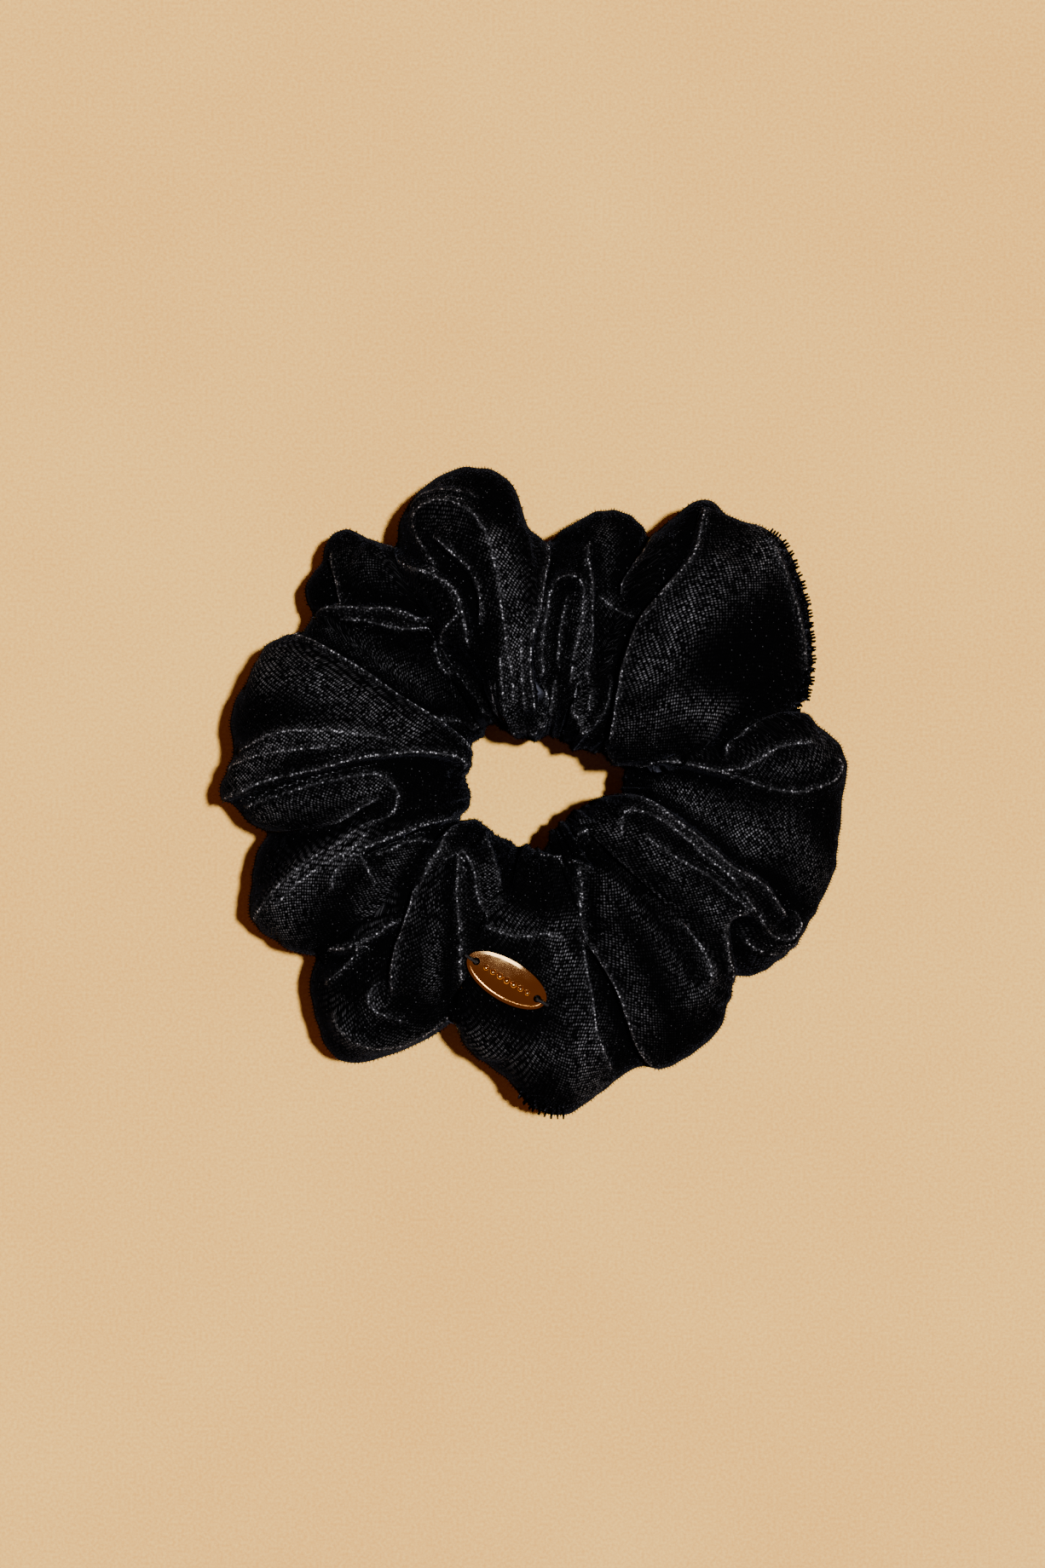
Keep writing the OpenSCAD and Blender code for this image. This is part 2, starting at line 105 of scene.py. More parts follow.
# The high side is on the left, from the first point to the last.
FOLDS = [
    ("lobe", [(-10.7, 23.6), (-10.8, 26.0), (-11.6, 29.7), (-12.6, 33.0), (-14.2, 35.1), (-16.7, 36.7),
        (-20.0, 38.3), (-24.9, 41.0), (-29, 43.6)]),
    ("over", [(-16.7, 30.5), (-17.9, 29.3), (-20.0, 29.1), (-22.0, 30.1), (-24.9, 31.0), (-29.0, 31.2),
        (-33.1, 31.4), (-35.6, 31.2), (-37.6, 29.9), (-41, 29)]),
    ("lobe", [(-10.5, 5.5), (-12.2, 6.9), (-14.2, 8.8), (-16.7, 11.0), (-20.0, 13.3), (-23.3, 15.6),
        (-26.6, 18.2), (-29.8, 20.3), (-33.1, 22.3), (-36.4, 24.0), (-40.1, 25.4), (-43.4, 25.9),
        (-48, 26)]),
    ("lobe", [(0.1, 13.3), (-0.3, 17.0), (-0.7, 19.9), (-0.9, 23.2), (-0.5, 26.4), (-0.1, 29.7),
        (0.3, 33.0), (0.9, 36.3), (1.6, 38.8), (2.0, 41.0), (2.4, 45)]),
    ("over", [(21.3, 45.0), (20.5, 43.6), (19.0, 40.3), (17.2, 37.9), (15.5, 35.4), (14.7, 32.4)]),
    ("lobe", [(28.6, 48.5), (28.3, 46.0), (27.5, 42.8), (26.5, 39.5), (24.8, 37.0), (22.3, 34.1),
        (20.3, 31.7), (18.2, 29.2), (16.8, 26.3), (15.9, 23.4), (15.1, 20.5), (14.5, 17.6), (13.9, 14.8),
        (13.5, 11.5), (13.0, 8.0)]),
    ("pinch", [(46.7, 19.5), (45.6, 25.5), (44.6, 29.6), (43.6, 34.6), (42.1, 38.3), (40.5, 41.2),
        (38.8, 44.0), (35.8, 45.6)]),
    ("lobe", [(11.9, 9.0), (13.3, 7.0), (14.6, 5.6), (17.6, 5.0), (21.9, 4.8), (25.8, 4.4), (28.8, 3.5),
        (31.8, 2.8), (34.3, 1.8)]),
    ("lap", [(31.0, 3.0), (34.8, 3.5), (37.4, 4.8), (40.5, 6.7), (43.5, 7.4), (48.4, 7.6)]),
    ("lobe", [(48, 14.5), (43.6, 13.2), (39.7, 12.3), (36.4, 11.0), (33.9, 9.4), (32.6, 7.3), (32.2, 4.6)]),
    ("ridge", [(33.6, 2.6), (37.0, 1.1), (40.9, 0.0), (44.8, -0.2), (48.2, 0.7), (50.4, 2.0), (51.5, 4.1),
        (51.2, 6.3)]),
    ("lobe", [(42.8, -21.7), (40.9, -18.7), (39.2, -16.1), (37.0, -14.4), (34.8, -13.3), (32.7, -12.0),
        (29.7, -9.2), (27.1, -7.1), (24.5, -5.1), (21.9, -3.4), (18.5, -2.1), (15.0, -1.3), (10, -1)]),
    ("ridge", [(15.9, -8.5), (15.9, -6.6), (16.3, -4.9), (17.6, -4.3), (19.8, -4.5), (22.8, -5.8),
        (26.2, -8.4), (28.8, -11.0), (31.4, -12.9), (33.1, -14.4), (34.8, -17.0), (36.6, -19.6),
        (38.3, -22.2), (40.0, -24.1), (41.7, -24.8), (43.5, -24.3), (44.8, -22.6), (44.6, -20.0)]),
    ("pinch", [(18.5, -7.1), (21.0, -9.2), (24.1, -11.2), (27.1, -12.9), (29.7, -14.4), (32.3, -16.6),
        (34.8, -18.7), (36.8, -20.4)]),
    ("swell", [(14.5, -8.0), (16.3, -10.1), (18.5, -12.7), (21.9, -15.3), (25.4, -18.3), (27.9, -20.9),
        (31.5, -24.0)]),
    ("lobe", [(6.4, -8.4), (8.2, -8.1), (10.3, -8.4), (12.9, -10.1), (15.4, -12.7), (18.0, -15.3),
        (20.6, -18.3), (22.8, -21.3), (24.9, -24.3), (26.7, -26.9), (27.9, -29.1), (28.9, -33.5)]),
    ("over", [(8.3, -22.5), (8.7, -25.2), (10.3, -26.9), (12.0, -29.5), (13.3, -31.7), (14.6, -34.3),
        (15.4, -36.8), (16.3, -39.4), (17.2, -42.0), (18.5, -44.2), (20.3, -46.3), (24, -49)]),
    ("lap", [(8.7, -27.2), (8.4, -25.2), (8.3, -21), (8.3, -16), (8.4, -12.2)]),
    ("lap", [(13.5, -47.9), (11.1, -42.4), (10.3, -39.4), (9.8, -35.1), (9.0, -30.8), (8.5, -26)]),
    ("over", [(10.3, -13.1), (7.7, -12.3), (4.7, -11.8), (1.6, -11.0), (-2, -9)]),
    ("lobe", [(34.1, -37), (33.8, -32.5), (33.6, -29.5), (32.9, -26.5), (32.5, -23.9), (32.8, -21.6),
        (34.5, -20.4), (37.5, -19.8)]),
    ("ridge", [(34.8, -23.6), (36.0, -25.4), (38.0, -26.9), (40.5, -27.3), (42.8, -26.7), (45.5, -25.0)]),
    ("lobe", [(-13.0, -9.5), (-13.3, -13.9), (-13.5, -17.4), (-13.1, -21.2), (-12.9, -25.0), (-13.1, -28.9),
        (-13.1, -32.7), (-12.9, -36.2), (-12.4, -38.9), (-11.5, -42.6), (-11, -47)]),
    ("lobe", [(-7.5, -4.5), (-11.4, -5.6), (-15.2, -7.7), (-17.2, -10.4), (-19.1, -13.1), (-19.8, -15.4),
        (-20.6, -18.5), (-21.4, -21.2), (-22.5, -23.9), (-23.3, -26.2), (-23.9, -28.9), (-24.1, -31.6),
        (-24.1, -35.0)]),
    ("pinch", [(-26.6, -31.8), (-27.9, -34.4), (-27.6, -36.4), (-26.0, -37.7), (-24.1, -38.5),
        (-20.8, -39.5)]),
    ("ridge", [(-16.6, -12.6), (-15.4, -11.0), (-13.7, -10.6), (-11.8, -12.6), (-10.6, -15.4),
        (-9.9, -18.5), (-8.7, -21.2), (-6.8, -23.3), (-4.5, -24.3), (-1.8, -24.7), (1.7, -24.4),
        (6.0, -25.4)]),
    ("lap", [(-5.0, -20.0), (-5.8, -16.5), (-6.7, -13.5), (-7.8, -10.8), (-9.2, -7.3)]),
    ("over", [(-51, -8), (-45.2, -6.8), (-42.5, -6.4), (-40.6, -6.4), (-37.5, -6.0), (-34.4, -5.1),
        (-31.4, -3.5), (-28.7, -2.0), (-25.6, -0.8)]),
    ("ridge", [(-50.5, -3.2), (-46.0, -1.6), (-42.1, -0.4), (-38.3, 0.7), (-34.4, 1.7), (-30.6, 2.4),
        (-27.9, 2.8), (-25.6, 2.4), (-24.1, 1.1), (-23.3, -0.4), (-24.1, -2.4), (-26.0, -4.3),
        (-28.7, -5.8), (-31.4, -7.7), (-33.7, -9.3), (-36.4, -10.8), (-39.1, -12.7), (-41.4, -14.7),
        (-43.3, -16.6), (-45.2, -18.9), (-48.1, -23.2)]),
    ("pinch", [(-27.6, -6.6), (-31.0, -9.8), (-35.6, -12.4), (-40.2, -16.0), (-44.5, -20.4)]),
    ("lobe", [(-56, -2.5), (-50.2, -0.6), (-47.9, 0.1), (-45.2, 1.3), (-42.1, 2.2), (-38.3, 3.2),
        (-34.4, 4.2), (-31.4, 5.1), (-28.3, 5.7), (-24.8, 6.1), (-21.0, 6.5), (-17.2, 6.3), (-14.8, 5.7),
        (-13.3, 4.2), (-12.3, 1.5)]),
    ("ridge", [(-50, 6.0), (-44, 9.3), (-38, 10.0), (-31, 9.6), (-24, 8.4)]),
    ("ridge", [(-51.4, 1.6), (-49.0, 4.4), (-45.0, 6.2), (-39.1, 7.0), (-32, 7.6)]),
    ("swell", [(-49.5, 19.5), (-43, 18.5), (-36, 16.5)]),
    ("over", [(-30.1, -10.3), (-26.8, -9.1), (-24.5, -8.1), (-21.0, -6.6), (-17.2, -5.4), (-13.7, -4.9),
        (-9.5, -4.4)]),
    ("pinch", [(-27.5, -11.0), (-24.8, -10.2), (-21.0, -8.5), (-16.2, -7.7)]),
    ("ridge", [(-29.0, -9.4), (-32.2, -12.2), (-33.7, -13.9), (-34.8, -17.5)]),
    ("ridge", [(-29.6, -9.8), (-28.3, -13.1), (-26.0, -16.6)]),
    ("lobe", [(-43, -29.5), (-37.9, -27.7), (-34.4, -27.2), (-31.4, -27.0), (-29.1, -26.0), (-26.8, -24.7),
        (-24.5, -23.1), (-21.9, -21.5)]),
    ("ridge", [(-28.4, -25.2), (-30.6, -27.7), (-32.5, -30.0), (-34.1, -31.6), (-36.2, -33.4)]),
    ("ridge", [(-13.0, -35.4), (-14.8, -38.1), (-16.8, -39.6), (-19.1, -41.2), (-21.8, -42.3),
        (-25.2, -43.1), (-28.7, -42.7), (-32, -40.5), (-33.8, -36.5)]),
    ("pinch", [(-33.3, 29.3), (-29.0, 28.9), (-24.9, 27.9), (-21.6, 27.3), (-18.3, 27.3), (-16.6, 28.4)]),
    ("lap", [(-34.8, 41.5), (-34.0, 37.5), (-33.5, 34.2), (-33.5, 30.6)]),
    ("pinch", [(-18.1, 28.3), (-17.3, 24.8), (-16.7, 22.3), (-15.5, 20.3), (-13.6, 19.2)]),
    ("pinch", [(-12.2, 30.5), (-14.2, 27.7), (-14.9, 25.2), (-15.3, 23.1), (-14.0, 21.2)]),
    ("over", [(-6.3, 13.1), (-8.5, 15.3), (-10.5, 17.8), (-12.6, 20.3), (-14.8, 22.5)]),
    ("ridge", [(-16.0, 36.7), (-17.5, 39.2), (-18.8, 41.6), (-19.9, 44.1), (-20.0, 45.7), (-19.4, 47.2),
        (-17.9, 48.4), (-15.5, 48.8), (-13.0, 48.2), (-11.0, 47.0), (-9.3, 44.9), (-8.1, 42.5),
        (-7.3, 39.6), (-6.4, 35.5), (-5.8, 31.4), (-5.2, 27.3), (-4.6, 23.2), (-4.0, 19.9), (-3.5, 15.0)]),
    ("pinch", [(-21.3, 47.0), (-19.6, 49.5), (-17.5, 50.5), (-15.1, 50.7), (-12.6, 50.5), (-9.1, 49.5)]),
    ("over", [(-17.6, 43.4), (-14.7, 40.8), (-12.6, 38.8), (-10.8, 37.1), (-9.7, 34.6), (-9.3, 33.0),
        (-9.1, 31.0), (-9.4, 27.4)]),
    ("ridge", [(-7.6, 19.4), (-6.4, 14.9), (-5.2, 12.9), (-3.6, 11.2), (-1.7, 10.6), (0.1, 10.8),
        (1.5, 12.1), (2.4, 14.5), (2.0, 18.5)]),
    ("pinch", [(-5.9, 24), (-5.4, 18.5), (-4.5, 13.8)]),
    ("pinch", [(-2.7, 27), (-2.5, 20), (-1.6, 13.0)]),
    ("lap", [(-17.9, 12.1), (-12.6, 11.4), (-9.3, 11.7), (-5.5, 12.6)]),
    ("ridge", [(1.9, 18.3), (1.5, 23.0), (1.7, 26.3), (2.3, 30.4), (2.7, 33.3), (3.8, 35.4), (5.6, 36.2),
        (7.3, 35.8), (8.3, 34.1), (8.1, 31.3), (7.7, 28.0), (6.9, 24.7), (6.4, 21.8), (5.9, 17.4)]),
    ("pinch", [(5.8, 33.9), (4.8, 29.2), (4.2, 25.3), (4.2, 20.0)]),
    ("pinch", [(3.4, 20), (3.1, 15), (2.5, 10.5)]),
    ("lap", [(9.3, 17.9), (9.6, 23.0), (9.8, 27.1), (9.8, 30.4), (9.9, 35.0), (9.6, 37.4), (9.3, 39.5),
        (9.6, 43.0)]),
    ("pinch", [(7.2, 20.4), (6.9, 15.6), (7.3, 12.3), (8.3, 10.4), (9.7, 10.4), (11.6, 12.7), (12.6, 15.6),
        (12.8, 20)]),
    ("pinch", [(9.5, 18.0), (8.9, 12.4)]),
    ("pinch", [(10.6, 33.4), (13.5, 30.8), (17.0, 29.2)]),
    ("swell", [(30.5, 41.0), (26.8, 33), (23.8, 27), (21.7, 21.8), (20.5, 13.5)]),
    ("swell", [(19.5, 14.5), (26, 11.5), (32, 10.0)]),
]

# Patches of painted light, where the weave's rows are painted lighter as if the leaning pile caught the
# light: how much, how wide, and along what line.
PAINTED_LIGHT_PATCHES = [
    (1.0, 3.5, [(-45.5, 20.5), (-37, 18.5), (-30, 14.5), (-22, 10.5)]),
    (0.9, 2.2, [(-48.5, 1.8), (-40.4, 8.9), (-28.8, 9.5)]),
    (0.6, 3.0, [(-34.6, 24.8), (-27, 21.5), (-19.5, 17.5)]),
    (0.9, 2.1, [(-6.8, 42.4), (-3.6, 30.8), (-3.0, 14.0)]),
    (0.4, 3.0, [(-14.5, 46), (-15.5, 52)]),
    (0.7, 1.5, [(2.2, 36), (1.2, 26), (1.5, 12)]),
    (0.7, 1.5, [(8.6, 32), (8.0, 20), (8.4, 11)]),
    (0.5, 1.8, [(12.2, 44), (12.4, 34), (11.4, 22)]),
    (1.0, 4.0, [(20.0, 20), (24.7, 28.6), (33, 36), (40.8, 41.2)]),
    (0.8, 3.0, [(17.0, 11.5), (23.4, 14.5), (31.0, 13.0)]),
    (0.8, 2.4, [(38, 4.3), (44.5, 4.6), (49.5, 8.0)]),
    (1.0, 4.2, [(22.4, 0.6), (30.4, -4.8), (37.5, -9.0)]),
    (0.7, 3.2, [(42, -5.2), (47.5, -14.4)]),
    (0.8, 1.8, [(9.5, -6.2), (18.6, -8.8), (27.7, -16.8), (34, -23)]),
    (1.0, 3.2, [(15.1, -14.4), (23.4, -23.7), (27.5, -34)]),
    (0.7, 2.2, [(11.2, -15), (12.2, -22), (15.1, -29.4), (18.5, -39)]),
    (0.8, 2.0, [(-7.9, -14.4), (-6.8, -20.2), (-0.5, -23.4), (6.2, -22.4)]),
    (1.0, 4.0, [(5.5, -27), (8.6, -38.8), (9.5, -50.2)]),
    (0.7, 3.2, [(-8.5, -42), (-2.3, -45.6), (4.0, -44)]),
    (0.7, 2.0, [(-19.0, -15), (-23.0, -26), (-27.6, -37.6)]),
    (0.8, 2.6, [(-16.6, -13.4), (-15.4, -22), (-16.5, -33)]),
    (0.5, 2.2, [(-33.5, -36), (-29, -44), (-20, -42)]),
    (0.9, 3.6, [(-31.1, -6.2), (-37.9, -14.1), (-43.7, -22.4)]),
    (0.8, 2.8, [(-22, -10.8), (-27.8, -20.4)]),
    (0.8, 1.8, [(-46.2, -3.4), (-34.6, -0.6), (-26.6, 0.8)]),
    (0.3, 2.5, [(-30.8, 40), (-21.5, 34)]),
]
UNLIT_PAINTED_SHEEN = 0.045   # how much painted sheen the weave has outside the patches
PAINTED_LIGHT_POWER = 1.5   # above 1, the patches of painted light have softer edges
PAINTED_LIGHT_BESIDE_FOLDS = 0.08   # how much lighter it is painted beside a fold
PAINTED_SHADE_UNDER_STEPS = 0.92   # and how much darker, as painted shade, under one

# ---------------------------------------------------------------- cover
COLUMNS = 700   # the grid's points round the ring
TOP_ROWS = 104   # and round the tube's section, on top and underneath
UNDER_ROWS = 32
SECTION_POWER = 2.3   # 2 is an ellipse, and more is squarer
SECTION_HALVES = (21, 15)   # a usual section's half width and height, which space the rows
SECTION_STEPS = 4001
FLOOR_SINK = 1.6 * MM   # how far below the floor the smooth tube goes, before it is pressed flat
LOWEST = 0.35 * MM   # below this the cloth is pressed flat
VALLEY_DROP = 2.5   # how much lower the cloth is between two lobes
VALLEY_BLEND = 21   # columns over which the lobes' heights run together

# Folds, in millimetres from their lines.
FOLD_FADE = 2.2   # length over which a fold fades at each end
FOLD_LIMIT = 3.6   # the most that the cloth stands out, where folds cross
FOLD_REACH = 2.6   # how many of its widths a fold is worked out over
FAR_AWAY = 4.0   # the distance given where no line is near
PAINTED_LIGHT_BESIDE_STEP = (2.6, 3.0)   # where light is painted on the weave beside a step, as if the pile leaned to it, and over what width
PAINTED_SHADE_BESIDE_STEP = (-1.4, 1.7)   # where shade is painted beside the step, as if the step shaded it
PAINTED_LIGHT_RIDGE_EXTRA = 1.2   # how much wider than a ridge the painted light beside it is
LINE_END = 1   # how far past its ends a line of painted highlight still counts
LINE_FAINT = 0.02   # a line fainter than this doesn't count
LINE_CLOSES = (0.9, 1.8)   # where the painted highlight beside a line, which stands for open pile, begins to fade, and is gone
BATCH = 4000   # places worked out at a time, to save memory

EDGE_HOLD = 0.3   # how much of the folds is left where the cloth turns over the edge
EDGE_SLOPE = 0.42   # upward share of the normal within which it turns over
UNDER_EASE = 0.45   # how much lower the folds are underneath
UNDER_SWING = np.radians(9)   # how far round the ring they have swung there
HOLE_GATHERS = (11, 8)   # how far from the hole's middle its gathers are highest, and over what width
HOLE_EDGE_EASE = 0.9
# Waves: height in millimetres, how many are added up, from and to how many round the ring, and seed.
GATHERS = (0.40, 9, 30, 70, 3)
SWELLS = (0.32, 10, 9, 34, 5)
CRINKLES = (0.10, 14, 30, 110, 8)

CLOTH_THICKNESS = 1.6 * MM
LINING_STEP = 5   # the lining has a point for every so many of the pile side's, each way
LINING_LOWEST = 0.9 * MM
# The strip's length and width. The finished tube measures 98 to 136 mm round its section, which is
# more than this width.
FLAT_CUT = (0.40, 0.095)


def smooth(a, b, x):
    t = np.clip((x - a) / (b - a), 0, 1)
    return t * t * (3 - 2 * t)


def spline(points, step=0.35, closed=False):
    """Points every step along a smooth curve through these points."""
    p = np.array(points, float)
    p = np.vstack([p[-1], p, p[0], p[1]]) if closed else np.vstack([2 * p[0] - p[1], p, 2 * p[-1] - p[-2]])
    out = []
    for a, b, c, d in zip(p[:-3], p[1:-2], p[2:-1], p[3:]):
        n = max(2, int(np.linalg.norm(c - b) / step))
        t = np.linspace(0, 1, n, endpoint=False)[:, None]
        out.append(b + 0.5 * t * (c - a + t * (2 * a - 5 * b + 4 * c - d + t * (3 * b - a - 3 * c + d))))
    out.append(p[-2:-1] if not closed else p[1:2])
    return np.vstack(out)


def polar(points):
    """Angle and distance of each point from the middle of the hole, by growing angle."""
    d = points - np.array(MIDDLE)
    turn = np.arctan2(d[:, 1], d[:, 0]) % TAU
    order = np.argsort(turn)
    return turn[order], np.linalg.norm(d, axis=1)[order]


def reach(turns, points):
    at, far = polar(points)
    return np.interp(turns, at, far, period=TAU)


def lobe_places(turns):
    """The number of the lobe at each turn, and how far along it that is, from 0 to 1."""
    lobe = np.zeros(len(turns), int)
    share = np.zeros(len(turns))
    for number, (_, _, points) in enumerate(LOBES):
        d = np.array([points[0], points[-1]]) - np.array(MIDDLE)
        start, end = np.arctan2(d[:, 1], d[:, 0])
        along = ((turns - start) % TAU) / ((end - start) % TAU)
        lobe[along < 1] = number
        share[along < 1] = along[along < 1]
    return lobe, share


def lobe_heights(turns):
    """Height of the cloth round the ring: each lobe's own, and lower in the valleys."""
    lobe, share = lobe_places(turns)
    height = np.array([tall for tall, _, _ in LOBES])[lobe] - VALLEY_DROP * (1 - np.sin(np.pi * share) ** 0.5)
    kernel = np.hanning(VALLEY_BLEND)
    more = VALLEY_BLEND // 2
    padded = np.concatenate([height[-more:], height, height[:more]])
    return np.convolve(padded, kernel / kernel.sum(), "valid") * MM


def eased(v):
    return np.sign(v) * np.abs(v) ** (2 / SECTION_POWER)


def section_angles():
    """Angles round the tube's section, closer together on top than underneath."""
    fine = np.linspace(0, TAU, SECTION_STEPS)
    r, z = SECTION_HALVES[0] * eased(np.cos(fine)), SECTION_HALVES[1] * eased(np.sin(fine))
    step = np.hypot(np.diff(r), np.diff(z))
    top = fine[:-1] < np.pi
    weight = np.where(top, step / step[top].sum() * TOP_ROWS, step / step[~top].sum() * UNDER_ROWS)
    travel = np.concatenate([[0], np.cumsum(weight)])
    return np.interp(np.arange(TOP_ROWS + UNDER_ROWS), travel, fine)


def ring_surface(turns, around):
    """The smooth gathered tube, as a grid of points in metres."""
    outline = np.vstack([spline(points, 0.5)[:-1] for _, _, points in LOBES])
    near = reach(turns, spline(HOLE, 0.5, closed=True)) * MM
    far = reach(turns, outline) * MM
    tall = (lobe_heights(turns) + FLOOR_SINK) / 2
    half = (far - near) / 2
    r = (near + half)[:, None] + half[:, None] * eased(np.cos(around))
    z = (tall - FLOOR_SINK)[:, None] + tall[:, None] * eased(np.sin(around))
    x = MIDDLE[0] * MM + r * np.cos(turns)[:, None]
    y = MIDDLE[1] * MM + r * np.sin(turns)[:, None]
    return np.stack([x, y, z], -1)


def grid_normals(grid):
    along = np.roll(grid, -1, 0) - np.roll(grid, 1, 0)
    across = np.roll(grid, -1, 1) - np.roll(grid, 1, 1)
    n = np.cross(along, across)
    return n / np.maximum(np.linalg.norm(n, axis=-1, keepdims=True), 1e-12)


def fold_fields(places):
    """At places in the plan: how far the folds stand out, the distance to the nearest fold's line, how strong
    the painted highlight of open pile is along that line, and how bright the weave's painted sheen is: lit
    patches and painted light beside folds, with painted shade beside steps."""
    rise_all = np.zeros(len(places))
    away_all = np.full(len(places), FAR_AWAY)
    open_all = np.zeros(len(places))
    painted_light_all = np.zeros(len(places))
    painted_shade_all = np.zeros(len(places))
    for kind, points in FOLDS:
        rise, drop, near_w, far_w, step_w, open_pile = KINDS[kind]
        line = spline(points)
        margin = FOLD_REACH * max(near_w, far_w)
        inside = np.all((places > line.min(0) - margin) & (places < line.max(0) + margin), axis=1)
        index = np.flatnonzero(inside)
        if not len(index):
            continue
        p = places[index]
        nearest = np.empty(len(p), int)
        for at in range(0, len(p), BATCH):
            part = p[at:at + BATCH, None] - line[None]
            nearest[at:at + BATCH] = (part ** 2).sum(-1).argmin(1)
        way = np.gradient(line, axis=0)
        way /= np.linalg.norm(way, axis=1, keepdims=True)
        off = p - line[nearest]
        side = way[nearest, 0] * off[:, 1] - way[nearest, 1] * off[:, 0]
        beyond = np.abs((off * way[nearest]).sum(-1))
        along = np.concatenate([[0], np.cumsum(np.linalg.norm(np.diff(line, axis=0), axis=1))])
        fade = smooth(0, FOLD_FADE, along[nearest]) * smooth(0, FOLD_FADE, along[-1] - along[nearest])
        if step_w:
            upper = smooth(-step_w, 0, side)
            shape = upper * rise * np.exp(-((np.maximum(side, 0) / near_w) ** 2))
            shape -= (1 - upper) * drop * np.exp(-((np.minimum(side, 0) / far_w) ** 2))
            lean = np.exp(-(((side - PAINTED_LIGHT_BESIDE_STEP[0]) / PAINTED_LIGHT_BESIDE_STEP[1]) ** 2))
            shade = np.exp(-(((side - PAINTED_SHADE_BESIDE_STEP[0]) / PAINTED_SHADE_BESIDE_STEP[1]) ** 2)) * min(drop, 1)
        else:
            shape = rise * np.exp(-((side / near_w) ** 2))
            lean = np.exp(-((side / (PAINTED_LIGHT_RIDGE_EXTRA + near_w)) ** 2))
            shade = np.zeros_like(side)
        rise_all[index] += shape * fade
        painted_light_all[index] = np.maximum(painted_light_all[index], lean * fade)
        painted_shade_all[index] = np.maximum(painted_shade_all[index], shade * fade)
        # The painted highlight along the nearest fold's crest, where the pile opens.
        closer = (np.abs(side) < np.abs(away_all[index])) & (beyond < LINE_END)
        closer &= (fade > LINE_FAINT) & (open_pile > 0)
        away_all[index[closer]] = side[closer]
        open_all[index[closer]] = (fade * open_pile * (1 - smooth(*LINE_CLOSES, np.abs(side))))[closer]
    rise_all = FOLD_LIMIT * np.tanh(rise_all / FOLD_LIMIT)
    # Painted sheen on the weave: the lit patches, lighter beside folds, and darker as painted shade under
    # steps.
    painted_weave_light = (UNLIT_PAINTED_SHEEN + painted_light_field(places)) * (1 - PAINTED_SHADE_UNDER_STEPS * painted_shade_all) + PAINTED_LIGHT_BESIDE_FOLDS * painted_light_all
    return rise_all, away_all, open_all, np.clip(painted_weave_light, 0, 1) ** PAINTED_LIGHT_POWER


def painted_light_field(places):
    """Painted light: how bright the weave is painted, from the patches where the pile would lean towards the
    light.
    """
    lit = np.zeros(len(places))
    for strength, width, points in PAINTED_LIGHT_PATCHES:
        line = spline(points, 1.0)
        near = np.full(len(places), np.inf)
        for point in line:
            near = np.minimum(near, ((places - point) ** 2).sum(1))
        lit = np.maximum(lit, strength * np.exp(-near / width ** 2))
    return lit


def waves(turns, around, count, low, high, seed):
    """Irregular waves round the ring, from low to high of them, that lean as they go round the tube."""
    random = np.random.default_rng(seed)
    total = np.zeros((len(turns), len(around)))
    for _ in range(count):
        n = random.integers(low, high)
        lean = random.integers(-2, 3)
        total += np.sin(n * turns[:, None] + lean * around + random.uniform(0, TAU)) * random.uniform(0.5, 1)
    return total / math.sqrt(count)


def cover_surface():
    """The gathered cover's points, and what fold_fields tells of each."""
    turns = np.linspace(0, TAU, COLUMNS, endpoint=False)
    around = section_angles()
    base = ring_surface(turns, around)
    normal = grid_normals(base)
    depth = np.clip(-np.sin(around), 0, 1)   # 0 on top, 1 underneath
    swing = UNDER_SWING * depth
    plan = (base[..., :2] / MM - np.array(MIDDLE)).reshape(-1, 2)
    turn = np.broadcast_to(swing, base.shape[:2]).reshape(-1)
    plan = np.stack([plan[:, 0] * np.cos(turn) - plan[:, 1] * np.sin(turn),
                     plan[:, 0] * np.sin(turn) + plan[:, 1] * np.cos(turn)], -1) + np.array(MIDDLE)
    rise, away, opened, painted_weave_light = (f.reshape(base.shape[:2]) for f in fold_fields(plan))
    over_edge = np.exp(-((normal[..., 2] / EDGE_SLOPE) ** 2)) * (depth < 0.5)
    rise = rise * (1 - UNDER_EASE * depth) * (1 - (1 - EDGE_HOLD) * over_edge)
    from_hole = np.linalg.norm(base[..., :2] / MM - np.array(MIDDLE), axis=-1)
    near_hole = np.exp(-(((from_hole - HOLE_GATHERS[0]) / HOLE_GATHERS[1]) ** 2))
    gathers, swells, crinkles = (waves(turns, around, *wave[1:]) for wave in (GATHERS, SWELLS, CRINKLES))
    rise += GATHERS[0] * near_hole * (1 - HOLE_EDGE_EASE * over_edge) * gathers
    rise += SWELLS[0] * swells + CRINKLES[0] * crinkles
    points = base + normal * (rise * MM)[..., None]
    z = points[..., 2]
    points[..., 2] = np.where(z < LOWEST, LOWEST * np.exp((z - LOWEST) / (3 * LOWEST)), z)
    return points, away, opened, painted_weave_light


def grid_faces(columns, rows, shift=0, inward=False):
    """Quads over a grid that closes both ways, one column after another."""
    c, r = np.meshgrid(np.arange(columns), np.arange(rows), indexing="ij")
    a, b = c * rows + r, (c + 1) % columns * rows + r
    d, e = c * rows + (r + 1) % rows, (c + 1) % columns * rows + (r + 1) % rows
    faces = np.stack([a, b, e, d], -1).reshape(-1, 4)
    return (faces[:, ::-1] if inward else faces) + shift


def mesh_object(name, points, faces):
    mesh = bpy.data.meshes.new(name)
    faces = faces.tolist() if isinstance(faces, np.ndarray) else faces
    mesh.from_pydata(np.asarray(points, float).reshape(-1, 3).tolist(), [], faces)
    mesh.validate()
    mesh.shade_smooth()
    obj = bpy.data.objects.new(name, mesh)
    bpy.context.scene.collection.objects.link(obj)
    return obj


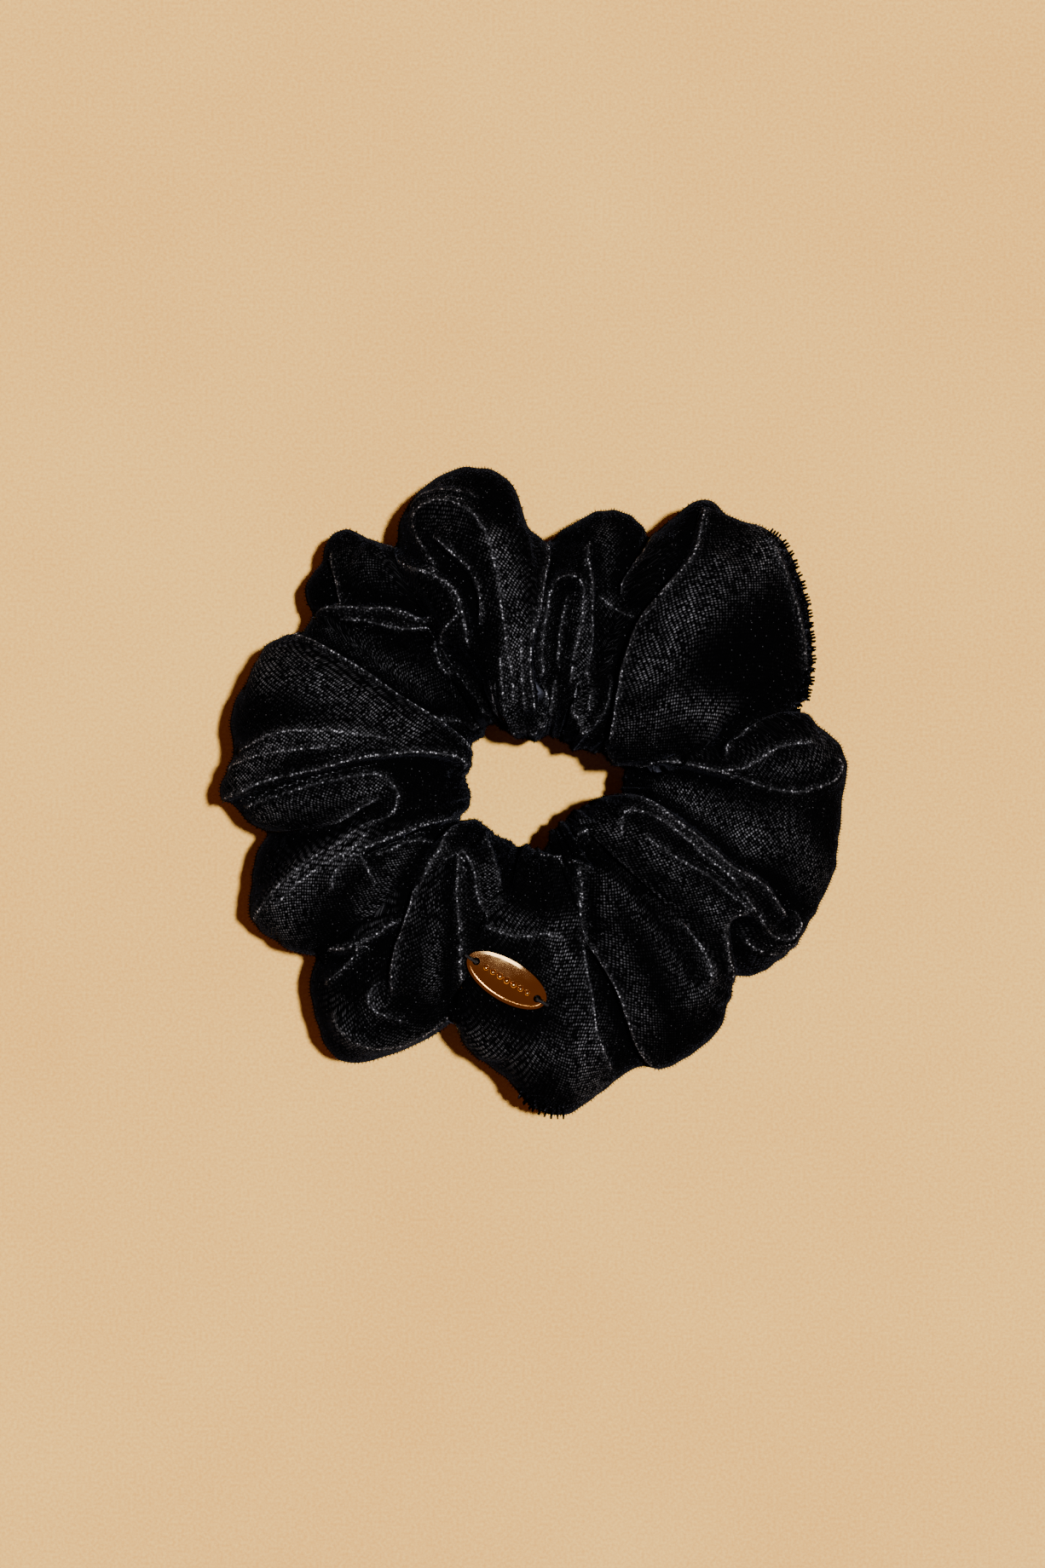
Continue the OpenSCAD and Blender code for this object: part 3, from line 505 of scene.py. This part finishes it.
def point_values(obj, name, values):
    attribute = obj.data.attributes.new(name, "FLOAT", "POINT")
    attribute.data.foreach_set("value", np.asarray(values, np.float32))


# ---------------------------------------------------------------- tag
TAG_TURN = math.radians(-32)
TAG_SLOPE = math.radians(9)
TAG_SIZE = (15.2 * MM, 7.0 * MM)
TAG_HOLD = (0.95, 2.3)   # how many of its sizes from its middle the tag holds the cloth, and lets it go
TAG_HOLD_HEIGHTS = (12 * MM, 16 * MM)   # between these the hold begins, so that the underside is free
TAG_GAP = 0.05 * MM


def tag_frame():
    """Middle of the tag's underside, and its directions: along, across and out of its face."""
    low, high = (np.array(v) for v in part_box("metal_tag"))
    turn = np.array([[math.cos(TAG_TURN), -math.sin(TAG_TURN), 0],
                     [math.sin(TAG_TURN), math.cos(TAG_TURN), 0],
                     [0, 0, 1]])
    slope = np.array([[1, 0, 0], [0, math.cos(TAG_SLOPE), -math.sin(TAG_SLOPE)],
                      [0, math.sin(TAG_SLOPE), math.cos(TAG_SLOPE)]])
    axes = slope @ turn
    points = np.array([v.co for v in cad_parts["metal_tag"].data.vertices])
    out = axes[:, 2]
    middle = (low + high) / 2
    return middle + out * ((points @ out).min() - middle @ out), axes


def press_under_tag(points):
    """Brings the cloth up or down to the tag's underside, where it is sewn on."""
    origin, axes = tag_frame()
    local = (points - origin) @ axes
    size = np.array(TAG_SIZE) / 2
    far = np.sqrt(((local[..., :2] / size) ** 2).sum(-1))
    held = (1 - smooth(*TAG_HOLD, far)) * smooth(*TAG_HOLD_HEIGHTS, points[..., 2])
    moved = local.copy()
    moved[..., 2] = local[..., 2] * (1 - held) - TAG_GAP * held
    return moved @ axes.T + origin


# ---------------------------------------------------------------- node helpers
def give(node, inputs):
    """Sets a node's inputs, or links them where the value is another node's output."""
    for name, value in inputs.items():
        socket = node.inputs[name]
        if isinstance(value, bpy.types.NodeSocket):
            node.id_data.links.new(value, socket)
        elif socket.type == "RGBA":
            socket.default_value = (*value[:3], 1)
        else:
            socket.default_value = value


def add(tree, kind, inputs=None, **settings):
    node = tree.nodes.new("ShaderNode" + kind)
    for name, value in settings.items():
        setattr(node, name, value)
    give(node, inputs or {})
    return node


def new_material(name):
    """A material, its tree, its main node, and the place on the object."""
    mat = bpy.data.materials.new(name)
    mat.use_nodes = True
    tree = mat.node_tree
    return mat, tree, tree.nodes["Principled BSDF"], add(tree, "TexCoord").outputs["Object"]


def maths(tree, operation, a, b, clamp=False):
    return add(tree, "Math", {0: a, 1: b}, operation=operation, use_clamp=clamp).outputs[0]


def product(tree, *values):
    result = values[0]
    for value in values[1:]:
        result = maths(tree, "MULTIPLY", result, value)
    return result


def noise(tree, vector, scale, detail=2.0, roughness=0.5):
    inputs = {"Vector": vector, "Scale": scale, "Detail": detail, "Roughness": roughness}
    return add(tree, "TexNoise", inputs).outputs["Fac"]


def ramp(tree, value, low, high):
    """0 at low, 1 at high, and held there beyond them."""
    return add(tree, "MapRange", {"Value": value, "From Min": low, "From Max": high}).outputs["Result"]


def mix_colours(tree, factor, a, b):
    return add(tree, "Mix", {"Factor": factor, "A": a, "B": b}, data_type="RGBA").outputs["Result"]


def bump(tree, bsdf, height, strength, distance):
    node = add(tree, "Bump", {"Height": height, "Strength": strength, "Distance": distance})
    give(bsdf, {"Normal": node.outputs["Normal"]})


# ---------------------------------------------------------------- materials
PAPER_DARK = (0.80, 0.39, 0.060)
PAPER_LIGHT = (0.96, 0.56, 0.115)
PILE_BLACK = (0.0008, 0.0008, 0.0009)
# Painted sheen: the colour of the weave's rows where light is painted on them.
PAINTED_SHEEN_COLOUR = (0.155, 0.155, 0.172)
# Painted highlight: the near-white pile ends along fold crests.
PAINTED_GLINT_COLOUR = (0.90, 0.90, 1.0)
PILE_END = (0.035, 0.035, 0.045)
THREAD_COLOURS = ((0.001, 0.001, 0.001), (0.010, 0.010, 0.013))
ELASTIC_COLOURS = ((0.05, 0.05, 0.055), (0.012, 0.012, 0.014))
GOLD_COLOURS = ((0.96, 0.66, 0.30), (0.84, 0.46, 0.16))
DOT_CORE = 0.4   # the share of a dot's radius over which it is fully bright
WEAVE_ROWS = (2150, 2500, 1)   # to the metre, along the cloth and across it
WEAVE_TURN = (0, 0, math.radians(32))
WEAVE_DRIFT = 9.0
# How much of the painted highlight is a faint glow beside each line, how much joins its dots, and how bright
# the painted glints scattered at random are.
PAINTED_HALO = 0.12
PAINTED_LINE_BETWEEN_ENDS = 0.02
LOOSE_PAINTED_GLINTS = 0.10
GOLD_ROUGHNESS = 0.05
GOLD_TARNISH = 0.06
PAPER_CLOUD = 0.4


def attribute(tree, name):
    return add(tree, "Attribute", attribute_name=name).outputs["Fac"]


def dots(tree, vector, scale, randomness, size, uneven=1.6):
    """Round dots of uneven brightness, one to a cell."""
    cells = add(tree, "TexVoronoi", {"Vector": vector, "Scale": scale, "Randomness": randomness})
    chance = add(tree, "SeparateColor", {"Color": cells.outputs["Color"]})
    bright = maths(tree, "POWER", chance.outputs["Red"], uneven)
    dot = ramp(tree, cells.outputs["Distance"], size, size * DOT_CORE)
    return product(tree, dot, bright)


def hump(tree, value, middle, width):
    """1 where value is at the middle, and falling to nothing about two widths away."""
    off = maths(tree, "SUBTRACT", value, middle)
    off = maths(tree, "DIVIDE", off, width)
    return maths(tree, "POWER", math.exp(-1), product(tree, off, off))


def velvet_material():
    """Black cut pile, with painted light: a painted highlight of bright pile ends where a fold opens it, and
    the weave's rows painted lighter where light would fall on the leaning pile.
    """
    mat, tree, bsdf, here = new_material("black_velvet")
    away, opened, painted_weave_light = (attribute(tree, name) for name in ("away", "open", "painted_weave_light"))
    ends = dots(tree, here, scale=2300, randomness=1.0, size=0.44, uneven=1.2)
    cloud = noise(tree, here, scale=160)
    patch = noise(tree, here, scale=1000)
    flat = add(tree, "TexCoord").outputs["UV"]
    rows = add(tree, "Mapping", {"Vector": flat, "Scale": WEAVE_ROWS, "Rotation": WEAVE_TURN})
    drift = product(tree, noise(tree, here, scale=55, detail=1.0), WEAVE_DRIFT)
    bend = add(tree, "CombineXYZ", {"X": drift})
    bent = add(tree, "VectorMath", {0: rows.outputs["Vector"], 1: bend.outputs["Vector"]}, operation="ADD")
    dashes = dots(tree, bent.outputs["Vector"], scale=1.0, randomness=0.22, size=0.40, uneven=1.3)

    # Along a fold's line, a painted highlight: a narrow bright core in a faint painted glow, both broken up
    # into ends and patches.
    painted_halo = product(tree, hump(tree, away, middle=0.3, width=0.55), PAINTED_HALO)
    line = maths(tree, "ADD", hump(tree, away, middle=0.1, width=0.15), painted_halo)
    line = product(tree, line, maths(tree, "ADD", ends, PAINTED_LINE_BETWEEN_ENDS), opened,
                   ramp(tree, patch, low=0.32, high=0.55))
    # Painted sheen: the weave's dashes, painted lighter where the painted light field says, broken up by a
    # cloud.
    lean = product(tree, painted_weave_light, ramp(tree, cloud, low=0.15, high=0.60), dashes)
    # Painted glints of loose pile ends, scattered at random.
    loose_painted_glints = product(tree, dots(tree, here, scale=1500, randomness=1.0, size=0.15), LOOSE_PAINTED_GLINTS)
    open_all = maths(tree, "ADD", line, loose_painted_glints, clamp=True)
    black_with_painted_sheen = mix_colours(tree, lean, PILE_BLACK, PAINTED_SHEEN_COLOUR)
    give(bsdf, {"Base Color": mix_colours(tree, open_all, black_with_painted_sheen, PAINTED_GLINT_COLOUR),
                "Roughness": 1.0, "Specular IOR Level": 0.0,
                "Sheen Weight": 0.022, "Sheen Roughness": 0.3, "Sheen Tint": (0.7, 0.72, 0.95)})
    bump(tree, bsdf, maths(tree, "ADD", ends, dashes), strength=0.5, distance=0.2 * MM)
    return mat


def pile_material():
    """The ends of the pile that stand out round the edges."""
    mat, tree, bsdf, here = new_material("velvet_pile_ends")
    shade = ramp(tree, noise(tree, here, scale=1300, detail=1.0), low=0.62, high=0.72)
    give(bsdf, {"Base Color": mix_colours(tree, shade, PILE_BLACK, PILE_END),
                "Roughness": 1.0, "Specular IOR Level": 0.0})
    return mat


def thread_material():
    """Twisted black polyester, a little glossier than the pile."""
    mat, tree, bsdf, here = new_material("black_thread")
    inputs = {"Vector": here, "Scale": 1500, "Distortion": 1.5}
    twist = add(tree, "TexWave", inputs, bands_direction="DIAGONAL").outputs["Fac"]
    give(bsdf, {"Base Color": mix_colours(tree, twist, *THREAD_COLOURS),
                "Roughness": 0.55, "Specular IOR Level": 0.2})
    bump(tree, bsdf, twist, strength=0.6, distance=0.06 * MM)
    return mat


def elastic_material():
    """Black elastic with the fine cells of its weave. Its ribs are in the mesh."""
    mat, tree, bsdf, here = new_material("woven_elastic")
    cells = add(tree, "TexVoronoi", {"Vector": here, "Scale": 1600, "Randomness": 0.2}).outputs["Distance"]
    give(bsdf, {"Base Color": mix_colours(tree, cells, *ELASTIC_COLOURS), "Roughness": 0.8,
                "Sheen Weight": 0.15})
    bump(tree, bsdf, cells, strength=0.5, distance=0.15 * MM)
    return mat


def gold_material():
    """Polished gold plating, with faint rubbing marks and a little tarnish."""
    mat, tree, bsdf, here = new_material("polished_gold")
    cloud = noise(tree, here, scale=420, detail=3.0)
    rub = noise(tree, here, scale=3800, detail=4.0, roughness=0.7)
    tarnish = product(tree, ramp(tree, cloud, low=0.3, high=0.8), GOLD_TARNISH)
    give(bsdf, {"Base Color": mix_colours(tree, cloud, *GOLD_COLOURS),
                "Roughness": maths(tree, "ADD", tarnish, GOLD_ROUGHNESS), "Metallic": 1.0})
    bump(tree, bsdf, rub, strength=0.02, distance=0.02 * MM)
    return mat


def paper_material():
    """Pale brown paper with a fine grain."""
    mat, tree, bsdf, here = new_material("pale_paper")
    grain = noise(tree, here, scale=1900, roughness=0.6)
    cloud = noise(tree, here, scale=14, detail=3.0, roughness=0.6)
    tone = maths(tree, "ADD", product(tree, cloud, PAPER_CLOUD), grain)
    tone = ramp(tree, tone, low=0.50, high=0.90)
    give(bsdf, {"Base Color": mix_colours(tree, tone, PAPER_DARK, PAPER_LIGHT), "Roughness": 0.85})
    bump(tree, bsdf, grain, strength=0.25, distance=0.1 * MM)
    return mat


def wear(obj, material):
    obj.data.materials.clear()
    obj.data.materials.append(material)


# ---------------------------------------------------------------- pieces
def pulled(obj, slot, *nodes):
    """A soft piece in place of these CAD nodes: bakes its transform and hides the nodes."""
    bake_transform(obj)
    if nodes:
        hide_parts(*nodes)


def make_cover(velvet):
    """The pile side and, inside it, a coarser lining that follows the same folds, in one mesh."""
    points, away, opened, painted_weave_light = cover_surface()
    points = press_under_tag(points)
    columns, rows = points.shape[:2]
    lining = (points - grid_normals(points) * CLOTH_THICKNESS)[::LINING_STEP, ::LINING_STEP]
    lining[..., 2] = np.maximum(lining[..., 2], LINING_LOWEST)
    faces = np.vstack([grid_faces(columns, rows),
                       grid_faces(*lining.shape[:2], shift=columns * rows, inward=True)])
    cover = mesh_object("velvet_cover", np.vstack([points.reshape(-1, 3), lining.reshape(-1, 3)]), faces)
    spare = np.zeros(lining.shape[0] * lining.shape[1])
    # Where the painted highlight and the painted sheen go, for the velvet's colour.
    for name, values in (("away", away), ("open", opened), ("painted_weave_light", painted_weave_light)):
        point_values(cover, name, np.concatenate([values.reshape(-1), spare]))
    give_cloth_places(cover, points)
    wear(cover, velvet)
    return cover, points


def give_cloth_places(cover, points):
    """A UV map in metres of cloth, so that the weave's rows run side by side along each lobe."""
    columns, rows = points.shape[:2]
    lobe, _ = lobe_places((np.arange(columns) + 0.5) / columns * TAU)
    way = np.radians([turn for _, turn, _ in LOBES])[lobe]
    column = np.arange(columns)[:, None, None] + np.array([0, 1, 1, 0])
    row = np.arange(rows)[None, :, None] + np.array([0, 0, 1, 1])
    place = points[column % columns, row % rows, :2] - np.array(MIDDLE) * MM
    beside = place[..., 1] * np.cos(way)[:, None, None] - place[..., 0] * np.sin(way)[:, None, None]
    half = FLAT_CUT[1] / 2
    round_tube = np.interp(row, [0, TOP_ROWS, rows], [0, half, 2 * half])
    uv = np.stack([beside, np.broadcast_to(round_tube, beside.shape)], -1).reshape(-1, 2)
    layer = cover.data.uv_layers.new(name="cloth")
    spare = np.zeros((len(layer.data) - len(uv), 2))
    layer.data.foreach_set("uv", np.vstack([uv, spare]).astype(np.float32).reshape(-1))


FRINGE_COUNT = 16000
FRINGE_LENGTH = (0.15 * MM, 0.45 * MM)
FRINGE_ROOT = 0.07 * MM   # radius, and the tip's as a share of it
FRINGE_TIP = 0.2
FRINGE_LEAN = 0.3   # how far a tuft leans out of line, as a share of its length
FRINGE_SLOPE = 0.4   # upward share of the normal within which the fringe grows
FRINGE_LOWEST = 2 * MM
# Where the pile is brushed up in rows of longer tufts: from and to round the ring in degrees, and the step
# between rows in columns of the cover's grid.
TUFT_PLACES = [(16, 49, 1.35), (266, 274, 1.8)]
TUFT_ROWS = (-4, 15)   # rows of the cover's grid, from just under the widest place to above it
TUFT_LENGTH = (0.40 * MM, 0.80 * MM)
TUFT_ROOT = 0.20 * MM
TUFT_TIP = 0.75
TUFT_LEAN = 0.05
TUFT_SHIFT = 0.2   # how many columns a row of tufts may be out of place
THICKNESSES = (0.7, 1.3)
ROOT_DEPTH = 0.25 * MM


def tuft_mesh(root, out, radius, tip, length):
    """Closed three-sided tufts, with a tip that is this much of the root's radius."""
    count = len(root)
    side = np.cross(out, rng.normal(0, 1, (count, 3)))
    side /= np.linalg.norm(side, axis=1, keepdims=True)
    other = np.cross(out, side)
    root = root - out * ROOT_DEPTH
    end = root + out * (length + ROOT_DEPTH)
    ring = [side * math.cos(a) + other * math.sin(a) for a in (0, TAU / 3, 2 * TAU / 3)]
    corners = np.stack([root + radius * way for way in ring] + [end + tip * radius * way for way in ring], 1)
    shape = [[0, 2, 1], [3, 4, 5], [0, 1, 4], [0, 4, 3], [1, 2, 5], [1, 5, 4], [2, 0, 3], [2, 3, 5]]
    first = np.arange(count)[:, None, None] * 6
    return corners.reshape(-1, 3), (first + np.array(shape)).reshape(-1, 3)


def make_pile(points, material):
    """Short tufts of pile all round the edge, and rows of longer ones where it is brushed up."""
    normal = grid_normals(points)
    cell = np.linalg.norm(np.roll(points, -1, 0) - points, axis=-1)
    edge = np.exp(-((normal[..., 2] / FRINGE_SLOPE) ** 2)) * (points[..., 2] > FRINGE_LOWEST) * cell
    edge = edge.reshape(-1)
    fringe = rng.choice(len(edge), FRINGE_COUNT, replace=False, p=edge / edge.sum())
    per_degree = COLUMNS / 360
    columns = np.concatenate([np.arange(start * per_degree, end * per_degree, step)
                              for start, end, step in TUFT_PLACES])
    columns = np.rint(columns + rng.uniform(-TUFT_SHIFT, TUFT_SHIFT, len(columns))).astype(int) % COLUMNS
    rows = np.arange(*TUFT_ROWS) % points.shape[1]
    tufts = (columns[:, None] * points.shape[1] + rows).reshape(-1)
    place, out_of = points.reshape(-1, 3), normal.reshape(-1, 3)
    corners, faces = [], []
    for pick, root, tip, (short, long), lean in (
            (fringe, FRINGE_ROOT, FRINGE_TIP, FRINGE_LENGTH, FRINGE_LEAN),
            (tufts, TUFT_ROOT, TUFT_TIP, TUFT_LENGTH, TUFT_LEAN)):
        out = out_of[pick] + rng.normal(0, lean, (len(pick), 3))
        out /= np.linalg.norm(out, axis=1, keepdims=True)
        radius = rng.uniform(*THICKNESSES, (len(pick), 1)) * root
        c, f = tuft_mesh(place[pick], out, radius, tip, rng.uniform(short, long, (len(pick), 1)))
        faces.append(f + sum(len(part) for part in corners))
        corners.append(c)
    pile = mesh_object("velvet_pile", np.vstack(corners), np.vstack(faces))
    wear(pile, material)
    return pile


def tube(name, path, radius, sides=10, closed=False):
    """A round tube along a path of points in metres."""
    path = np.asarray(path, float)
    way = np.roll(path, -1, 0) - np.roll(path, 1, 0) if closed else np.gradient(path, axis=0)
    way /= np.linalg.norm(way, axis=1, keepdims=True)
    side = np.cross(way, (0, 0, 1.0))
    flat = np.linalg.norm(side, axis=1) < 1e-6
    side[flat] = (1, 0, 0)
    side /= np.linalg.norm(side, axis=1, keepdims=True)
    up = np.cross(side, way)
    a = np.arange(sides) / sides * TAU
    rings = path[:, None] + radius * (side[:, None] * np.cos(a)[:, None] + up[:, None] * np.sin(a)[:, None])
    n = len(path)
    faces = [[c * sides + r, c * sides + (r + 1) % sides, (c + 1) % n * sides + (r + 1) % sides,
              (c + 1) % n * sides + r] for c in range(n if closed else n - 1) for r in range(sides)]
    if not closed:
        faces += [list(range(sides))[::-1], [(n - 1) * sides + r for r in range(sides)]]
    return mesh_object(name, rings, faces)


def joined(name, objects):
    bpy.ops.object.select_all(action="DESELECT")
    for obj in objects:
        obj.select_set(True)
    bpy.context.view_layer.objects.active = objects[0]
    bpy.ops.object.join()
    objects[0].name = name
    return objects[0]


STITCH_COUNT = 8
STITCH_RADIUS = 0.16 * MM
STITCH_HALF = (0.45, 0.8)   # half a stitch's length, in millimetres
STITCH_SLANT = 0.3   # how far its end may be out of line, in millimetres
STITCH_SHIFT = 0.2   # how far along the seam it may be, as a share of the space for it
STITCH_RISE = 0.08 * MM   # how far its middle is above the pile
STITCH_DIP = 0.3 * MM   # how far its ends are below its middle
CLOSING_SEAM_X = 8.35 * MM


def make_closing_stitches(points, material):
    """Small uneven stitches along the closing seam, sunk into the pile."""
    top = points.reshape(-1, 3)
    top = top[top[:, 2] > MID_HEIGHT]
    low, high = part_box("closing_stitches")
    stitches = []
    for i in range(STITCH_COUNT):
        shift = rng.uniform(-STITCH_SHIFT, STITCH_SHIFT)
        y = low.y + (high.y - low.y) * (i + 0.5 + shift) / STITCH_COUNT
        half = rng.uniform(*STITCH_HALF) * MM
        slant = rng.uniform(-STITCH_SLANT, STITCH_SLANT) * MM
        path = []
        for s in np.linspace(-1, 1, 7):
            x, y_here = CLOSING_SEAM_X + s * half, y + s * slant
            z_at = top[((top[:, :2] - (x, y_here)) ** 2).sum(1).argmin(), 2]
            path.append((x, y_here, z_at + STITCH_RISE - STITCH_DIP * s ** 6))
        stitches.append(tube(f"stitch_{i}", path, STITCH_RADIUS))
    piece = joined("closing_seam_stitches", stitches)
    wear(piece, material)
    return piece


ROUND_STEPS = 240   # points round the elastic and round the long seam
ELASTIC_THICKNESS = 1.2 * MM
ELASTIC_RIBS = 13
RIB_POINTS = 4
RIB_BULGE = 0.06 * MM
LAP_AT = -TAU / 4
LAP_LENGTH = 12 * MM
LAP_STEPS = 24
ZIGZAG_POINTS = 11
ZIGZAG_LENGTH = 9 * MM
ZIGZAG_HALF = 2.0 * MM   # half its width
ZIGZAG_RADIUS = 0.2 * MM
SEAM_RADIUS = 0.25 * MM
SEAM_WAVES = 80
SEAM_WAVE = 0.2 * MM


def band(name, centre, radius, width, start, turn, steps):
    """A ribbed flat band, as a closed ring or as a strip over part of a turn."""
    closed = turn >= TAU
    a = start + turn * np.arange(steps) / (steps if closed else steps - 1)
    v = np.linspace(-0.5, 0.5, ELASTIC_RIBS * RIB_POINTS + 1)
    bulge = RIB_BULGE * np.cos(v * ELASTIC_RIBS * TAU)
    outer = np.stack([radius + ELASTIC_THICKNESS + bulge, centre[2] + v * width], -1)
    inner = np.stack([radius - bulge, centre[2] + v * width], -1)[::-1]
    loop = np.vstack([outer, inner])
    grid = np.stack([centre[0] + loop[None, :, 0] * np.cos(a)[:, None],
                     centre[1] + loop[None, :, 0] * np.sin(a)[:, None],
                     np.broadcast_to(loop[:, 1], (steps, len(loop)))], -1)
    faces = grid_faces(steps, len(loop)).tolist()
    if not closed:
        faces = faces[:(steps - 1) * len(loop)]   # without those from the last column to the first
        faces += [list(range(len(loop)))[::-1], [(steps - 1) * len(loop) + k for k in range(len(loop))]]
    return mesh_object(name, grid, faces)


def make_elastic(material):
    """The loop and its lapped end, with the loop's middle and inner radius."""
    low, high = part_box("elastic_band")
    outer = (high.x - low.x) / 2
    centre = ((low.x + high.x) / 2, high.y - outer, (low.z + high.z) / 2)
    width = high.z - low.z
    radius = outer - ELASTIC_THICKNESS
    lap = LAP_LENGTH / outer
    loop = band("loop", centre, radius, width, 0, TAU, ROUND_STEPS)
    end = band("lap", centre, radius + ELASTIC_THICKNESS, width, LAP_AT - lap / 2, lap, LAP_STEPS)
    piece = joined("elastic_loop", [loop, end])
    wear(piece, material)
    return piece, centre, radius


def make_join_stitches(centre, radius, material):
    """Zigzag stitches through the lap of the elastic."""
    outer = radius + 2 * ELASTIC_THICKNESS + ZIGZAG_RADIUS
    lap = ZIGZAG_LENGTH / outer
    path = []
    for i in range(ZIGZAG_POINTS):
        turn = LAP_AT + lap * (i / (ZIGZAG_POINTS - 1) - 0.5)
        z = centre[2] + (ZIGZAG_HALF if i % 2 else -ZIGZAG_HALF)
        path.append((centre[0] + outer * math.cos(turn), centre[1] + outer * math.sin(turn), z))
    piece = tube("join_zigzag", spline(path, 0.4 * MM), ZIGZAG_RADIUS)
    wear(piece, material)
    return piece


def make_long_seam(material):
    """The thread of the tube's long seam, which weaves up and down round the ring."""
    low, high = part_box("long_seam_thread")
    a = np.linspace(0, TAU, ROUND_STEPS, endpoint=False)
    radius = (high.x - low.x) / 2
    path = np.stack([(low.x + high.x) / 2 + radius * np.cos(a), (low.y + high.y) / 2 + radius * np.sin(a),
                     (low.z + high.z) / 2 + SEAM_WAVE * np.sin(SEAM_WAVES * a)], -1)
    piece = tube("long_seam", path, SEAM_RADIUS, sides=8, closed=True)
    wear(piece, material)
    return piece


# ---------------------------------------------------------------- studio
# Each lamp's kind, place, size (an angle for a sun) and power.
LAMPS = {"key": ("SUN", (0.22, 0.05, 1.0), math.radians(3), 6.3),
         "softbox": ("AREA", (-0.055, -0.125, 0.85), (0.36, 0.11), 0.90)}
WORLD_COLOUR = (1.0, 0.34, 0.10)   # a dim warm fill
WORLD_STRENGTH = 0.11
FLOOR_SIDE = 12.0
FLOOR_DROP = 0.25 * MM
BACKDROP_COLOUR = (1.25, 0.72, 0.30)   # seen past the floor's far edge. It lights nothing.


def make_studio():
    bpy.ops.mesh.primitive_plane_add(size=FLOOR_SIDE, location=(0, 0, -FLOOR_DROP))
    floor = bpy.context.object
    floor.name = "paper"
    wear(floor, paper_material())
    for name, (kind, place, size, power) in LAMPS.items():
        light = bpy.data.lights.new(name, kind)
        light.energy = power
        if kind == "SUN":
            light.angle = size
        else:
            light.shape = "RECTANGLE"
            light.size, light.size_y = size
        lamp = bpy.data.objects.new(name, light)
        lamp.location = place
        lamp.visible_diffuse = kind == "SUN"   # the softbox is there for the metal to reflect
        lamp.rotation_euler = (-Vector(place)).to_track_quat("-Z", "Y").to_euler()
        bpy.context.scene.collection.objects.link(lamp)
    world = bpy.data.worlds.new("studio")
    bpy.context.scene.world = world
    world.use_nodes = True
    tree = world.node_tree
    fill = tree.nodes["Background"]
    give(fill, {"Color": WORLD_COLOUR, "Strength": WORLD_STRENGTH})
    backdrop = add(tree, "Background", {"Color": BACKDROP_COLOUR})
    seen = add(tree, "LightPath").outputs["Is Camera Ray"]
    either = add(tree, "MixShader", {"Fac": seen, 1: fill.outputs[0], 2: backdrop.outputs[0]})
    give(tree.nodes["World Output"], {"Surface": either.outputs["Shader"]})


def make_camera():
    data = bpy.data.cameras.new("camera")
    data.lens = LENS
    data.sensor_width = SENSOR
    camera = bpy.data.objects.new("camera", data)
    distance = FRAME_LENGTH / SENSOR * LENS
    camera.location = (*VIEW_FROM, MID_HEIGHT + distance)
    data.clip_start = NEAREST_SEEN
    bpy.context.scene.collection.objects.link(camera)
    bpy.context.scene.camera = camera


# ---------------------------------------------------------------- build
make_camera()
make_studio()
velvet = velvet_material()
thread = thread_material()
cover, surface = make_cover(velvet)
pile = make_pile(surface, pile_material())
stitches = make_closing_stitches(surface, thread)
elastic, elastic_middle, elastic_radius = make_elastic(elastic_material())
join = make_join_stitches(elastic_middle, elastic_radius, thread)
seam = make_long_seam(thread)

pulled(cover, "velvet", "cover_tag_side", "cover_right_side", "cover_far_side", "cover_left_side")
pulled(pile, "velvet")
pulled(stitches, "thread", "closing_stitches")
pulled(elastic, "elastic", "elastic_band")
pulled(join, "thread", "elastic_join_stitches")
pulled(seam, "thread", "long_seam_thread")
wear(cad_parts["metal_tag"], gold_material())
for name in ("tag_thread_left", "tag_thread_right"):
    wear(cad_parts[name], thread)
